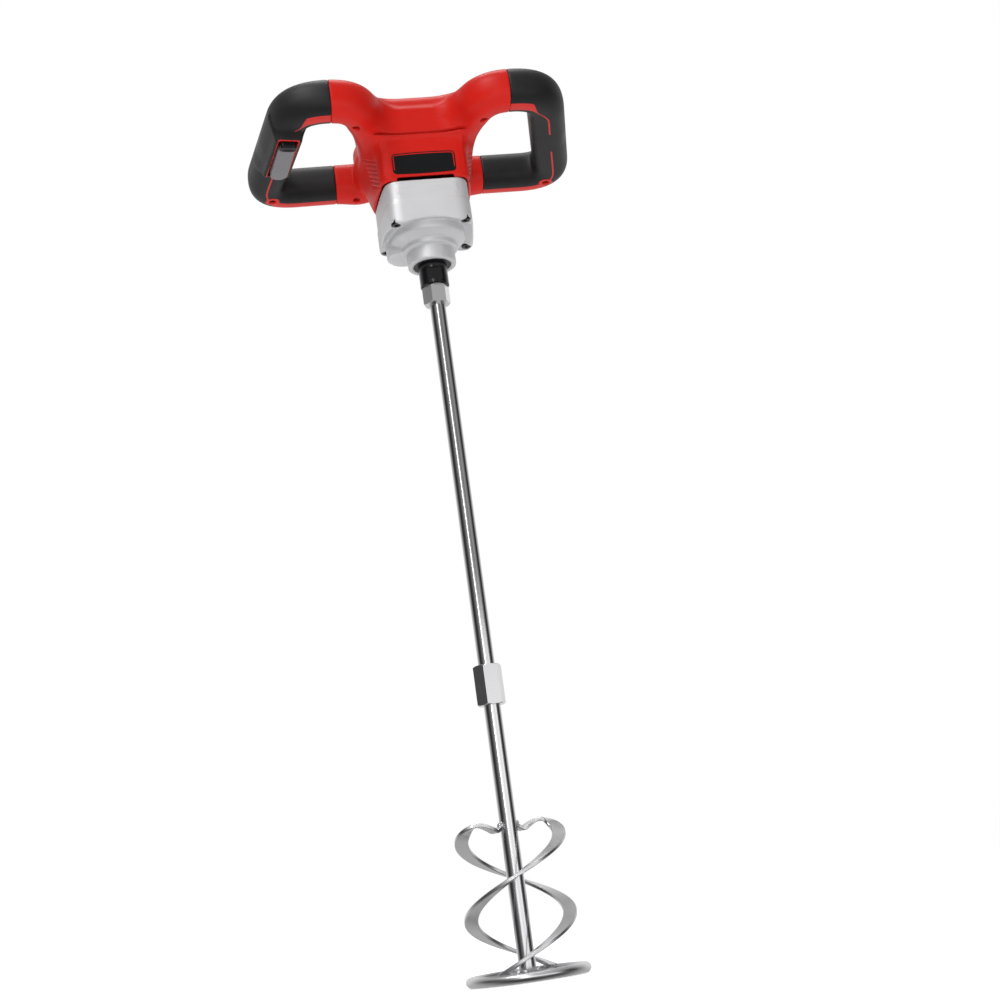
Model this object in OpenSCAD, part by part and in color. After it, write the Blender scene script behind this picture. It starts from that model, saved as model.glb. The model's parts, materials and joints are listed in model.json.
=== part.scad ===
// Two-handed cordless mixer with a long screwed-in stirrer.
// Origin: spindle axis at the lower end of the nose collar. +Z up to the battery dock,
// -Y to the label side, +X to the side opposite the trigger.

/* [Housing] */
// Half width of the body shell
body_hw = 50; // [48:0.5:54]
// Lower edge of the body shell
body_z0 = 67; // [66.5:0.5:67.5]
// Parting line between the two shells on the body
split_body_z = 112; // [110:1:114]
// Height of the handle loops' middle plane
loop_z = 132; // [128:1:136]
// Half thickness of a handle bar, seen from above
bar_a = 17; // [15:0.5:18]
// Half thickness of a handle bar, up and down
bar_b = 17.5; // [16:0.5:18.5]
// Thickness of the soft grip
grip_t = 2.6; // [2:0.1:3]
// Wall of the shells
wall = 2.6; // [2:0.1:3]

/* [Gearbox] */
// Outer radius of the nose collar
nose_r = 21.5; // [21.5:0.1:21.6]
// Length of the nose collar
nose_len = 15; // [14:0.5:15]
// Radius of the boss above the collar
boss_r = 33; // [32:0.5:34]
// Lower face of the square part of the casting
cast_z0 = 26.5; // [26:0.5:27]
// Joint between the lower casting and its cover
cast_split = 48; // [47.5:0.5:49]
// Number of teeth on the output gear
out_teeth = 36; // [36:1:36]
// Number of teeth on the intermediate pinion
mid_pinion_teeth = 12; // [12:1:12]
// Number of teeth on the intermediate gear
mid_teeth = 40; // [40:1:40]
// Number of teeth on the motor pinion
motor_teeth = 12; // [12:1:12]

/* [Spindle] */
// Radius of the spindle below its bearing
spindle_r = 12.75; // [12:0.05:12.8]
// Distance across the wrench flats
spindle_af = 22; // [21:0.5:23]
// How far the spindle stands out of the collar
spindle_out = 20; // [18:0.5:22]

/* [Stirrer] */
// Radius of the rods
rod_r = 7; // [6:0.5:7]
// Distance across the flats of the two nuts
nut_af = 21; // [20.5:0.5:22]
// Top of the coupling nut
coupling_top = -358.5; // [-370:0.5:-350]
// Length of the coupling nut
coupling_len = 33; // [30:1:36]
// Height of the ring's centre
ring_z = -605.5; // [-620:0.5:-590]
// Outer radius of the ring
ring_r = 50; // [45:1:55]
// Radius of the ring's round bar
ring_tube = 4; // [3:0.5:5]
// Width of a ribbon
ribbon_w = 11; // [9:0.5:12]
// Thickness of a ribbon
ribbon_t = 3; // [2:0.5:4]

/* [Hidden] */
$fn = 64;
eps = 0.01;
// Radial gap of a shaft in its bearing
run = 0.03;

// ---- gear train ----
out_mod = 1;
mid_mod = 0.8;
out_centre = out_mod * (out_teeth + mid_pinion_teeth) / 2;
mid_centre = mid_mod * (mid_teeth + motor_teeth) / 2;
// Bearing of the intermediate shaft round the spindle, measured from +X
mid_angle = 150;
mid_x = out_centre * cos(mid_angle);
mid_y = out_centre * sin(mid_angle);
motor_y = mid_y + sqrt(mid_centre * mid_centre - mid_x * mid_x);
motor_angle = atan2(motor_y - mid_y, -mid_x);

// ---- heights inside the gearbox and the body ----
seal_z = 1;
nose_bearing_z = 5.5;
nose_bearing_h = 10;
ring_clip_z = nose_bearing_z + nose_bearing_h;
low_bearing_z = 19;
out_gear_z = 29;
out_gear_h = 12;
top_bearing_z = 42;
web_z = 52.5;
mid_gear_z = 53.3;
mid_gear_h = 6.7;
plate_z = 61.5;
can_z = body_z0 + 1;
can_h = 57;
can_r = 21;
cap_h = 6;

// ---- handle loops ----
// Corners of the right-hand loop's middle line, from the front of the body round to its rear
loop_corners = [[30, 6], [58, -64], [110, -66], [140.5, 92], [38, 91], [34, 48]];
// How far before and after each inner corner the bend starts
loop_bends = [20, 31, 32, 16];
bend_steps = 6;
section_sides = 16;
// Part of the loop that the soft grip covers, in x at its two ends
grip_front_x = 77;
grip_rear_x = 70;

// ---- trigger, in its own frame under the left outer bar ----
bar_lean = 10.9;
trigger_at = [-117.5, -26];
trigger_hw = 7.5;
trigger_len = 47;
trigger_z0 = 106;
pivot_z = 121;

// ---- battery dock ----
dock_y = 12.05;
dock_z = 136.05;

// ---- stirrer ----
spindle_z0 = -spindle_out;
nut_h = 16.5;
nut_z0 = spindle_z0 - nut_h;
ribbon_r = 39.5;
ribbon_top = 109;
ribbon_turn = 310;
// Where the ribbons reach the top of their spiral, measured from +X
ribbon_start = 1;

// ---------- shape functions ----------
function unit(v) = v / norm(v);
function bezier(p, q, r, t) = (1 - t) * (1 - t) * p + 2 * t * (1 - t) * q + t * t * r;
function signed_pow(v, e) = sign(v) * pow(abs(v), e);
function flatten(lists) = [for (l = lists) for (v = l) v];

// A polyline whose inner corners are rounded
function rounded_path(corners, bends, steps) = concat(
    [corners[0]],
    flatten([for (i = [1:len(corners) - 2])
        let (c = corners[i],
            p = c + bends[i - 1] * unit(corners[i - 1] - c),
            r = c + bends[i - 1] * unit(corners[i + 1] - c))
        [for (k = [0:steps]) bezier(p, c, r, k / steps)]]),
    [corners[len(corners) - 1]]);

// A closed outline with rounded corners
function rounded_outline(corners, bend, steps = 5) = let (n = len(corners))
    flatten([for (i = [0:n - 1])
        let (c = corners[i],
            p = c + bend * unit(corners[(i + n - 1) % n] - c),
            r = c + bend * unit(corners[(i + 1) % n] - c))
        [for (k = [0:steps]) bezier(p, c, r, k / steps)]]);

function path_dir(path, i) = let (n = len(path))
    unit(path[min(i + 1, n - 1)] - path[max(i - 1, 0)]);

// Side walls and end caps of a tube whose rings hold n points each
function tube_faces(rings, n) = concat(
    [[for (k = [n - 1:-1:0]) k]],
    [[for (k = [0:n - 1]) (rings - 1) * n + k]],
    flatten([for (i = [0:rings - 2]) flatten([for (k = [0:n - 1])
        let (a = i * n + k, b = i * n + (k + 1) % n, c = a + n, d = b + n)
        [[a, b, d], [a, d, c]]])]));

// Involute gear outline with stub teeth and a little backlash
function involute(base, r) = let (t = sqrt(max(0, r * r / base / base - 1)))
    t * 180 / PI - atan(t);
function gear_outline(teeth, m, backlash = 0.12) =
    let (rp = m * teeth / 2, base = rp * cos(20), tip = rp + 0.78 * m, root = rp - 1.1 * m,
        half = 90 / teeth - backlash / rp * 90 / PI + involute(base, rp),
        low = max(root, base), steps = 4)
    flatten([for (i = [0:teeth - 1]) let (a0 = i * 360 / teeth) concat(
        [polar(root, a0 - half + involute(base, low))],
        [for (k = [0:steps]) let (r = low + (tip - low) * k / steps)
            polar(r, a0 - half + involute(base, r))],
        [for (k = [steps:-1:0]) let (r = low + (tip - low) * k / steps)
            polar(r, a0 + half - involute(base, r))],
        [polar(root, a0 + half - involute(base, low))])]);
function polar(r, a) = [r * cos(a), r * sin(a)];

// ---------- shared modules ----------
// A level bar swept along a path, with a rounded-square section
module level_bar(path, a, b, z = loop_z) {
    points = flatten([for (i = [0:len(path) - 1])
        let (d = path_dir(path, i), s = [d.y, -d.x])
        [for (k = [0:section_sides - 1])
            let (t = 360 * k / section_sides, u = a * signed_pow(cos(t), 0.8))
            [path[i].x + s.x * u, path[i].y + s.y * u, z + b * signed_pow(sin(t), 0.8)]]]);
    polyhedron(points, tube_faces(len(path), section_sides), convexity = 6);
}

module both_sides() {
    children();
    mirror([1, 0, 0]) children();
}

module ring(r_out, r_in, z, h) {
    translate([0, 0, z]) difference() {
        cylinder(r = r_out, h = h);
        translate([0, 0, -1]) cylinder(r = r_in, h = h + 2);
    }
}

// A ball bearing: two races and separate balls
module ball_bearing(r_out, r_in, h, balls) {
    race = (r_out - r_in) * 0.3;
    ball_r = (r_out - r_in) * 0.28;
    middle = (r_out + r_in) / 2;
    difference() {
        union() {
            ring(r_out, r_out - race, 0, h);
            ring(r_in + race, r_in, 0, h);
        }
        translate([0, 0, h / 2]) rotate_extrude() translate([middle, 0]) circle(r = ball_r);
    }
    for (i = [0:balls - 1]) rotate([0, 0, i * 360 / balls])
        translate([middle, 0, h / 2]) sphere(r = ball_r - 0.02, $fn = 24);
}

module at_mid() translate([mid_x, mid_y, 0]) children();
module at_motor() translate([0, motor_y, 0]) children();
module motor_screw_places() for (y = [-12.5, 12.5]) translate([0, y, 0]) children();
module at_trigger() translate([trigger_at.x, trigger_at.y, 0]) rotate([0, 0, bar_lean]) children();

// A socket-head screw that points up
module screw(r, head_r, length, head_h) {
    difference() {
        union() {
            cylinder(r = head_r, h = head_h);
            cylinder(r = r, h = length);
        }
        translate([0, 0, -1]) cylinder(r = head_r * 0.55, h = head_h * 0.6 + 1, $fn = 6);
    }
}

module helical_spring(r, wire, z0, h, turns) {
    sides = 6;
    steps = turns * 12;
    points = flatten([for (i = [0:steps]) let (a = i * 360 / 12, z = z0 + wire + (h - 2 * wire) * i / steps)
        [for (k = [0:sides - 1]) let (t = 360 * k / sides)
            concat(polar(r + wire * cos(t), a), z + wire * sin(t))]]);
    polyhedron(points, tube_faces(steps + 1, sides), convexity = 8);
}

// ---------- housing ----------
loop_path = rounded_path(loop_corners, loop_bends, bend_steps);
grip_path = [for (p = loop_path) if (p.x > (p.y < 0 ? grip_front_x : grip_rear_x)) p];
grip_line = concat([[grip_front_x, grip_path[0].y]], grip_path,
    [[grip_rear_x, grip_path[len(grip_path) - 1].y]]);
function body_corners(hw, rear) = [[-38, -38], [38, -38], [hw, -4], [hw, rear - 16],
    [hw - 11, rear], [11 - hw, rear], [-hw, rear - 16], [-hw, -4]];

module body_slice(inset, hw, rear, z, h) translate([0, 0, z]) linear_extrude(h)
    polygon(rounded_outline([for (c = body_corners(hw, rear))
        [c.x - inset * sign(c.x), c.y - inset * sign(c.y)]], 8 - inset));

// The body widens from the casting up to the handle loops
module body_block(inset, z0, z1) {
    hull() {
        body_slice(inset, 44, 42, z0, 4);
        body_slice(inset, body_hw, 60, 100, z1 - 100);
    }
}

// Shoulders on both sides of the battery bay, where the bars run into the body
module shoulders(inset) hull() {
    body_slice(0.4 + inset, body_hw, 60, 130, 4);
    body_slice(5 + inset, body_hw, 60, 147 - inset, 1);
}

// The front tower that carries the battery dock
module tower(inset) {
    hull() {
        translate([-37 + inset, -37.9 + inset, 116]) cube([74 - 2 * inset, 50 - 2 * inset, 1]);
        translate([-35 + inset, -33 + inset, 149 - inset]) cube([70 - 2 * inset, 40 - 2 * inset, 1]);
        translate([-29 + inset, -8 + inset, 161 - inset]) cube([58 - 2 * inset, 20 - 2 * inset, 1]);
    }
}

module loops(a, b) {
    both_sides() level_bar(loop_path, a, b);
}

// Bulge round the trigger slot under the left bar
module trigger_bulge() at_trigger() hull() {
    translate([-15, -19, 122]) cube([30, 75, 6]);
    translate([-11.5, -15, 109.5]) cube([23, 67, 2]);
}

module outer_form() {
    body_block(0, body_z0, 136);
    shoulders(0);
    tower(0);
    loops(bar_a, bar_b);
}

module inner_form() {
    body_block(wall, body_z0 - 1, 136 - wall);
    tower(wall);
    difference() {
        shoulders(wall);
        translate([-34.2 - wall, 12 - wall, 120]) cube([68.4 + 2 * wall, 60, 60]);
    }
    intersection() {
        loops(bar_a - grip_t - wall, bar_b - grip_t - wall);
        both_sides() {
            translate([-1, -120, 100]) cube([161, 129, 80]);
            translate([37, -120, 100]) cube([123, 260, 80]);
        }
    }
}

// Everything that is cut out of both shells
module housing_cuts() {
    inner_form();
    // soft grips lie in a recess
    grip_recess();
    // slot for the trigger and the lock-off button
    trigger_slot();
    at_trigger() translate([-9, -14, 123]) cube([18, 66, 14]);
    // recess of the label plate, air slot over the casting
    translate([-28.3, -40, 71.9]) cube([56.6, 3.2, 21.2]);
    translate([-25, -42, 66]) cube([50, 12, 4.2]);
    // vents in both flanks
    both_sides() for (i = [0:5]) translate([41, -5 + 1.6 * i, 74 + 5 * i]) rotate([0, 25, 0])
        cube([12, 9, 1.8]);
    // window behind the dock
    translate([-23, 4, 140]) cube([46, 12, 18]);
    at_trigger() translate([-8.9, 0, pivot_z]) rotate([0, 90, 0]) cylinder(r = 1.5, h = 17.8);
    // the battery slides down behind the tower
    translate([-34.2, 12, 136]) cube([68.4, 49, 60]);
    // counterbored screw holes
    for (p = screw_places) translate([p.x, p.y, loop_z - bar_b - 1]) cylinder(r = 3.2, h = 7);
    for (p = screw_places) translate([p.x, p.y, loop_z - bar_b - 1]) cylinder(r = 1.6, h = 32);
}
screw_places = [[-131.5, 83], [131.5, 83], [-56, -50], [56, -50], [-52, 88], [52, 88]];

// The same bar from just under the surface outwards
module grip_recess() {
    both_sides() difference() {
        level_bar(grip_line, bar_a + 1.5, bar_b + 1.5);
        level_bar(loop_path, bar_a - grip_t, bar_b - grip_t);
        grip_gap();
    }
}

module trigger_slot() at_trigger()
    translate([-trigger_hw - 0.8, -14, 100]) cube([2 * trigger_hw + 1.6, 66, 34]);

// The shells show in a strip along the inner edge of the bar's underside
module grip_gap() {
    line = rounded_path(loop_corners, [for (b = loop_bends) b - 1.3], bend_steps);
    inner = [for (i = [0:len(line) - 1]) let (d = path_dir(line, i)) line[i] + 4 * [-d.y, d.x]];
    level_bar(inner, 1.6, 7.6, loop_z - bar_b - 2);
}

// Beyond this half width the parting line steps up to the middle of the bars
split_x = 46;

module lower_space() {
    translate([-60, -80, 40]) cube([120, 180, split_body_z - 40]);
    both_sides() translate([split_x, -100, 40]) cube([124, 230, loop_z - 40]);
}

module housing_top() color("crimson") resize([0, 0, 0]) difference() {
    outer_form();
    housing_cuts();
    lower_space();
}

module housing_bottom() color("crimson") resize([0, 0, 0]) intersection() {
    difference() {
        outer_form();
        housing_cuts();
    }
    lower_space();
}

module grip() resize([0, 0, 0]) difference() {
    level_bar(grip_line, bar_a, bar_b);
    level_bar(loop_path, bar_a - grip_t, bar_b - grip_t);
    grip_gap();
    for (p = screw_places) translate([abs(p.x), p.y, loop_z - bar_b - 1]) cylinder(r = 5, h = 6);
}

module grip_right() color("dimgray") grip();

module grip_left() color("dimgray") resize([0, 0, 0]) difference() {
    union() {
        mirror([1, 0, 0]) grip();
        difference() {
            trigger_bulge();
            mirror([1, 0, 0]) level_bar(loop_path, bar_a - grip_t, bar_b - grip_t);
            mirror([1, 0, 0]) grip_gap();
        }
    }
    trigger_slot();
}

module label_plate() color("black") translate([-28.2, -38.4, 72]) cube([56.4, 1.6, 21]);

module battery_dock() color("black") {
    // back plate and floor
    difference() {
        translate([-30, dock_y, dock_z]) cube([60, 3, 34]);
        translate([-20, dock_y - 1, dock_z + 4]) cube([40, 2, 24]);
    }
    translate([-34, dock_y + 3, dock_z]) cube([68, 42, 3]);
    // two rails that hook behind the pack's grooves
    both_sides() {
        translate([22, dock_y + 3, dock_z + 7]) cube([4, 5, 27]);
        translate([22, dock_y + 8, dock_z + 7]) cube([8, 3, 27]);
    }
    // terminal block
    difference() {
        translate([-16, dock_y + 3, dock_z + 3]) cube([32, 16, 12]);
        for (x = [-11, 0, 11]) translate([x - 0.4, dock_y + 5, dock_z + 4]) cube([0.8, 12, 12]);
    }
}

module dock_terminals() color("goldenrod")
    for (x = [-11, 0, 11]) translate([x - 0.4, dock_y + 5, dock_z + 4]) cube([0.8, 12, 17]);

module housing_screws() color("silver")
    for (p = screw_places) translate([p.x, p.y, loop_z - bar_b + grip_t - 0.5]) screw(1.6, 3.1, 24, 2.4);

module switch_module() color("darkslategray") at_trigger() {
    difference() {
        translate([-7, 2, 125]) cube([14, 34, 11]);
        translate([0, 26, 124]) cylinder(r = 2.6, h = 5);
    }
    translate([-6, 36, 127]) cube([12, 6, 7]);
    // ledge that the button spring pushes on
    translate([-5, -12, 125.6]) cube([10, 14, 3]);
}

module trigger_pin() color("silver") at_trigger()
    translate([-8.9, 0, pivot_z]) rotate([0, 90, 0]) cylinder(r = 1.5, h = 17.8);

module wiring() color("black") {
    // lead from the dock down past the motor to the brush cap
    for (x = [-9, 9]) translate([x, motor_y + 25, 100]) cylinder(r = 1.4, h = 32);
    translate([-9, motor_y + 25, 98.6]) rotate([0, 90, 0]) cylinder(r = 1.4, h = 18);
}

// ---------- gearbox ----------
cast_corners = [[-35.5, -38], [35.5, -38], [43, 2], [43, 27], [38.5, 32], [-38.5, 32],
    [-43, 27], [-43, 2]];
cast_screws = [[-30.2, -31], [30.2, -31], [-36.8, 24.5], [36.8, 24.5]];

module cast_block(z0, z1, inset = 0) {
    translate([0, 0, z0]) linear_extrude(z1 - z0)
        polygon(rounded_outline([for (c = cast_corners)
            [c.x - inset * sign(c.x), c.y - inset * sign(c.y)]], 3.3 - inset * 0.3));
}

module gearbox_housing() color("silver") difference() {
    union() {
        cast_block(cast_z0, cast_split);
        rotate_extrude($fn = 96) polygon([[10, 0], [nose_r, 0],
            [nose_r, nose_len], [nose_r + 3, nose_len + 1.5], [nose_r + 3, nose_len + 4],
            [boss_r - 4, nose_len + 5.5], [boss_r - 1.2, nose_len + 6.7], [boss_r, nose_len + 9],
            [boss_r, cast_z0 + 1], [10, cast_z0 + 1]]);
        at_mid() translate([0, 0, nose_len + 1]) cylinder(r = 17, h = cast_z0 - nose_len);
        at_mid() translate([0, 0, nose_len + 0.05]) cylinder(r1 = 16, r2 = 17, h = 1);
    }
    // seal seat, bearing pocket, groove of the retaining ring, gear chamber
    translate([0, 0, -1]) cylinder(r = 16.75, h = nose_bearing_z + 2);
    translate([0, 0, nose_bearing_z]) cylinder(r = 17.5, h = 40);
    translate([0, 0, ring_clip_z]) cylinder(r = 18.3, h = 1.5);
    translate([0, 0, out_gear_z - 1]) cylinder(r = 20.5, h = 40);
    at_mid() translate([0, 0, low_bearing_z]) cylinder(r = 11, h = 7);
    at_mid() translate([0, 0, low_bearing_z + 6]) cylinder(r = 9.5, h = 40);
    for (p = cast_screws) translate([p.x, p.y, 0]) {
        translate([0, 0, cast_z0 - 6]) cylinder(r = 4.4, h = 11);
        translate([0, 0, cast_z0 - 1]) cylinder(r = 2.3, h = 40);
    }
}

module gearbox_cover() color("silver") difference() {
    union() {
        cast_block(cast_split, body_z0);
        translate([0, 0, top_bearing_z - 1]) cylinder(r = 17.5, h = cast_split - top_bearing_z + 2);
    }
    translate([0, 0, top_bearing_z - 2]) cylinder(r = 14, h = 10.05);
    at_mid() translate([0, 0, 30]) cylinder(r = 9, h = 30);
    at_mid() translate([0, 0, web_z]) cylinder(r = 17.2, h = 30);
    at_motor() translate([0, 0, web_z]) cylinder(r = 8, h = 30);
    at_motor() translate([0, 0, plate_z - 2]) cylinder(r = 16, h = 30);
    cast_block(plate_z, body_z0 + 1, 5);
    for (p = cast_screws) translate([p.x, p.y, 40]) cylinder(r = 2, h = 18);
}

module gearbox_screws() color("dimgray")
    for (p = cast_screws) translate([p.x, p.y, cast_z0 + 1]) screw(2, 3.6, 26, 4);

module dust_seal() color("black") ring(16.75, spindle_r + 0.05, seal_z, 4);

module nose_bearing() color("lightgray") translate([0, 0, nose_bearing_z])
    ball_bearing(17.5, 8.5 + run, nose_bearing_h, 9);

module retaining_ring() color("dimgray") difference() {
    ring(18.3, 15.2, ring_clip_z, 1.5);
    translate([0, -30, ring_clip_z - 1]) cube([8, 30, 4]);
}

module spindle_bearing() color("lightgray") translate([0, 0, top_bearing_z])
    ball_bearing(14, 6 + run, 8, 8);

module lower_mid_bearing() color("lightgray") at_mid() translate([0, 0, low_bearing_z])
    ball_bearing(11, 4 + run, 7, 7);

module upper_mid_bearing() color("lightgray") at_mid() translate([0, 0, plate_z - 0.7])
    ball_bearing(9.5, 3 + run, 5.5, 7);

module motor_plate() color("gainsboro") difference() {
    cast_block(plate_z, body_z0, 5.05);
    at_mid() translate([0, 0, plate_z - 1]) cylinder(r = 9.5, h = 6);
    at_mid() translate([0, 0, plate_z]) cylinder(r = 5, h = 9);
    at_motor() translate([0, 0, plate_z - 1]) cylinder(r = 8.7, h = 9);
    at_motor() motor_screw_places() translate([0, 0, plate_z - 1]) cylinder(r = 1.6, h = 9);
}

// ---------- motor ----------
module motor_can() color("gray") at_motor() difference() {
    union() {
        translate([0, 0, can_z]) cylinder(r = can_r, h = can_h);
        translate([0, 0, plate_z + 1]) cylinder(r = 8.65, h = 6);
    }
    translate([0, 0, can_z + 1.5]) cylinder(r = can_r - 1.5, h = can_h);
    translate([0, 0, plate_z]) cylinder(r = 4, h = 20);
    translate([0, 0, can_z - 4]) cylinder(r = 6, h = 20);
    motor_screw_places() translate([0, 0, can_z - 1]) cylinder(r = 1.5, h = 4);
    for (a = [0:60:300]) rotate([0, 0, a + 30]) translate([16, 0, can_z + 5])
        rotate([0, 90, 0]) cylinder(r = 2.5, h = 8);
}

module motor_magnets() color("darkslategray") at_motor() intersection() {
    ring(can_r - 1.55, 15.6, can_z + 14, 34);
    for (a = [0, 180]) rotate([0, 0, a]) translate([0, -16, can_z + 10]) cube([30, 32, 44]);
}

module motor_bushes() color("darkgoldenrod") at_motor() {
    ring(6, 2.5 + run, can_z - 4, 5.4);
    ring(6, 2.5 + run, can_z + can_h + 0.5, 4);
}

module brush_cap() color("ivory") at_motor() difference() {
    union() {
        translate([0, 0, can_z + can_h]) cylinder(r = can_r, h = cap_h);
        ring(can_r - 1.55, can_r - 3.5, can_z + can_h - 4, 4);
    }
    translate([0, 0, can_z + can_h - 1]) cylinder(r = 4, h = 20);
    translate([0, 0, can_z + can_h - 1]) cylinder(r = 6, h = 5.5);
    both_sides() translate([12, -2, can_z + can_h - 5]) cube([4, 4, 20]);
}

module brushes() color("dimgray") at_motor()
    both_sides() translate([6.6, -2, can_z + 51]) cube([9, 4, 5]);

module motor_screws() color("silver") at_motor()
    motor_screw_places() translate([0, 0, plate_z - 1.4]) screw(1.5, 2.6, 9.2, 1.4);

module rotor_shaft() color("silver") at_motor() translate([0, 0, web_z + 0.5])
    cylinder(r = 2.5, h = can_z + can_h + 4 - web_z);

module armature() color("slategray") at_motor() translate([0, 0, can_z + 17]) linear_extrude(27) difference() {
    circle(r = 15);
    circle(r = 2.5);
    for (a = [0:360 / 11:359]) rotate(a) translate([9, -1.1]) square([9, 2.2]);
}

module windings() color("peru") at_motor() {
    for (z = [can_z + 12, can_z + 44]) translate([0, 0, z]) rotate_extrude()
        polygon([[2.5, 0], [11, 0], [12.8, 1], [12.8, 3.5], [11, 4.99], [2.5, 4.99]]);
}

module commutator() color("sienna") at_motor() difference() {
    ring(6.5, 2.5, can_z + 49.2, 7.3);
    for (a = [0:360 / 11:359]) rotate([0, 0, a]) translate([5, -0.25, can_z + 50.5]) cube([3, 0.5, 7]);
}

module fan() color("white") at_motor() {
    ring(5, 2.5, can_z + 3, 6);
    for (a = [0:40:320]) rotate([0, 0, a]) translate([4.5, -0.6, can_z + 3]) cube([12.5, 1.2, 5]);
    ring(17, 4.5, can_z + 8, 1);
}

module motor_pinion() color("gainsboro") at_motor() translate([0, 0, mid_gear_z - 0.2]) difference() {
    linear_extrude(7) rotate(motor_angle + 180 + 180 / motor_teeth)
        polygon(gear_outline(motor_teeth, mid_mod));
    translate([0, 0, -1]) cylinder(r = 2.5, h = 10);
}

// ---------- gears and spindle ----------
module mid_gear() color("gainsboro") at_mid() translate([0, 0, mid_gear_z]) difference() {
    linear_extrude(mid_gear_h) rotate(motor_angle) polygon(gear_outline(mid_teeth, mid_mod));
    translate([0, 0, -1]) cylinder(r = 5, h = 10);
}

module mid_shaft() color("gainsboro") at_mid() {
    translate([0, 0, low_bearing_z - 0.5 + 0.8]) cylinder(r = 4, h = out_gear_z - low_bearing_z);
    translate([0, 0, out_gear_z - 0.2]) linear_extrude(out_gear_h + 0.4)
        rotate(mid_angle + 180 + 180 / mid_pinion_teeth)
        polygon(gear_outline(mid_pinion_teeth, out_mod));
    translate([0, 0, out_gear_z + out_gear_h]) cylinder(r = 5, h = mid_gear_z + mid_gear_h
        - out_gear_z - out_gear_h + 0.5);
    translate([0, 0, mid_gear_z + mid_gear_h]) cylinder(r = 3, h = 6);
}

module output_gear() color("gainsboro") translate([0, 0, out_gear_z]) difference() {
    linear_extrude(out_gear_h) rotate(mid_angle) polygon(gear_outline(out_teeth, out_mod));
    translate([0, 0, -1]) cylinder(r = 8.5, h = 20);
    for (a = [0:60:300]) rotate([0, 0, a]) translate([12.7, 0, -1]) cylinder(r = 2, h = 20);
}

module spindle() color("black") difference() {
    union() {
        translate([0, 0, spindle_z0 + 0.8]) cylinder(r = spindle_r, h = 5.2 + spindle_out - 0.8);
        translate([0, 0, spindle_z0]) cylinder(r1 = spindle_r - 0.8, r2 = spindle_r, h = 0.8);
        cylinder(r = 8.5, h = out_gear_z + out_gear_h + 0.5);
        cylinder(r = 6, h = top_bearing_z + 8);
    }
    for (a = [90, 270]) rotate([0, 0, a])
        translate([spindle_af / 2, -15, spindle_z0 + 3.6]) cube([10, 30, 11.4]);
    translate([0, 0, spindle_z0 - 1]) cylinder(r = 6.9, h = 27);
    translate([0, 0, spindle_z0 - eps]) cylinder(r1 = 7.9, r2 = 6.9, h = 1);
}

module hex_nut(af, h, chamfer_top = true) {
    across = af / cos(30);
    intersection() {
        cylinder(d = across, h = h, $fn = 6);
        union() {
            cylinder(d1 = af + 0.2, d2 = across + 0.2, h = (across - af) / 2 * 0.7);
            translate([0, 0, (across - af) / 2 * 0.7])
                cylinder(d = across + 0.2, h = h - (chamfer_top ? 2 : 1) * (across - af) / 2 * 0.7);
            if (chamfer_top) translate([0, 0, h - (across - af) / 2 * 0.7])
                cylinder(d1 = across + 0.2, d2 = af + 0.2, h = (across - af) / 2 * 0.7);
        }
    }
}

module stirrer_nut() color("lightgray") difference() {
    union() {
        translate([0, 0, nut_z0]) rotate([0, 0, 6]) hex_nut(nut_af, nut_h);
        translate([0, 0, spindle_z0 - 0.5]) cylinder(r = 6.85, h = 24);
    }
    translate([0, 0, nut_z0 - 1]) cylinder(r = rod_r, h = 9);
}

module upper_rod() color("lightgray") translate([0, 0, coupling_top - 14])
    cylinder(r = rod_r, h = nut_z0 + 8 - coupling_top + 14);

module coupling_nut() color("lightgray") difference() {
    translate([0, 0, coupling_top - coupling_len]) rotate([0, 0, 8]) hex_nut(nut_af, coupling_len);
    translate([0, 0, coupling_top - coupling_len - 1]) cylinder(r = rod_r, h = coupling_len + 2);
}

module lower_rod() color("lightgray") translate([0, 0, ring_z + 2])
    cylinder(r = rod_r, h = coupling_top - 22 - ring_z - 2);

// One spiral ribbon: up from the ring, over the top and in to the rod
spiral_steps = 30;
top_r = [38.5, 36, 32, 27, 22, 17, 13, 9.5, 6.9];
top_z = [112, 115.5, 118, 118.5, 117, 114.5, 112.5, 114, 117];
top_a = [7, 13, 17, 20, 22, 23, 23, 23, 23];
function spiral_points() = concat(
    [for (i = [0:spiral_steps]) let (t = i / spiral_steps)
        [ribbon_r, (t - 1) * ribbon_turn, ring_tube - 1 + (ribbon_top - ring_tube + 1) * t]],
    [for (i = [0:len(top_r) - 1]) [top_r[i], top_a[i], top_z[i]]]);
function spiral_xyz(q) = [q[0] * cos(q[1]), q[0] * sin(q[1]), q[2]];

module ribbon(turn) {
    q = spiral_points();
    p = [for (v = q) spiral_xyz(v)];
    n = len(p);
    points = flatten([for (i = [0:n - 1])
        let (d = unit(p[min(i + 1, n - 1)] - p[max(i - 1, 0)]),
            out = [cos(q[i][1]), sin(q[i][1]), 0],
            side = unit(cross(d, cross(out + 0.001 * [0, 0, 1], d))),
            k = i <= spiral_steps - 2 ? 0 : min(1, (i - spiral_steps + 2) / 7),
            flat = unit(cross(d, [0, 0, 1])),
            w = unit((1 - k) * side + k * flat),
            t = unit(cross(w, d)),
            hw = (i > n - 4 ? 0.7 : 1) * ribbon_w / 2)
        [p[i] + hw * w + ribbon_t / 2 * t, p[i] - hw * w + ribbon_t / 2 * t,
            p[i] - hw * w - ribbon_t / 2 * t, p[i] + hw * w - ribbon_t / 2 * t]]);
    resize([0, 0, 0]) difference() {
        translate([0, 0, ring_z]) rotate([0, 0, ribbon_start + turn])
            polyhedron(points, tube_faces(n, 4), convexity = 6);
        translate([0, 0, ring_z]) cylinder(r = rod_r + 0.02, h = 200);
        ring_shape(0.02);
    }
}

module ribbon_a() color("lightgray") ribbon(0);
module ribbon_b() color("lightgray") ribbon(180);

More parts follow.
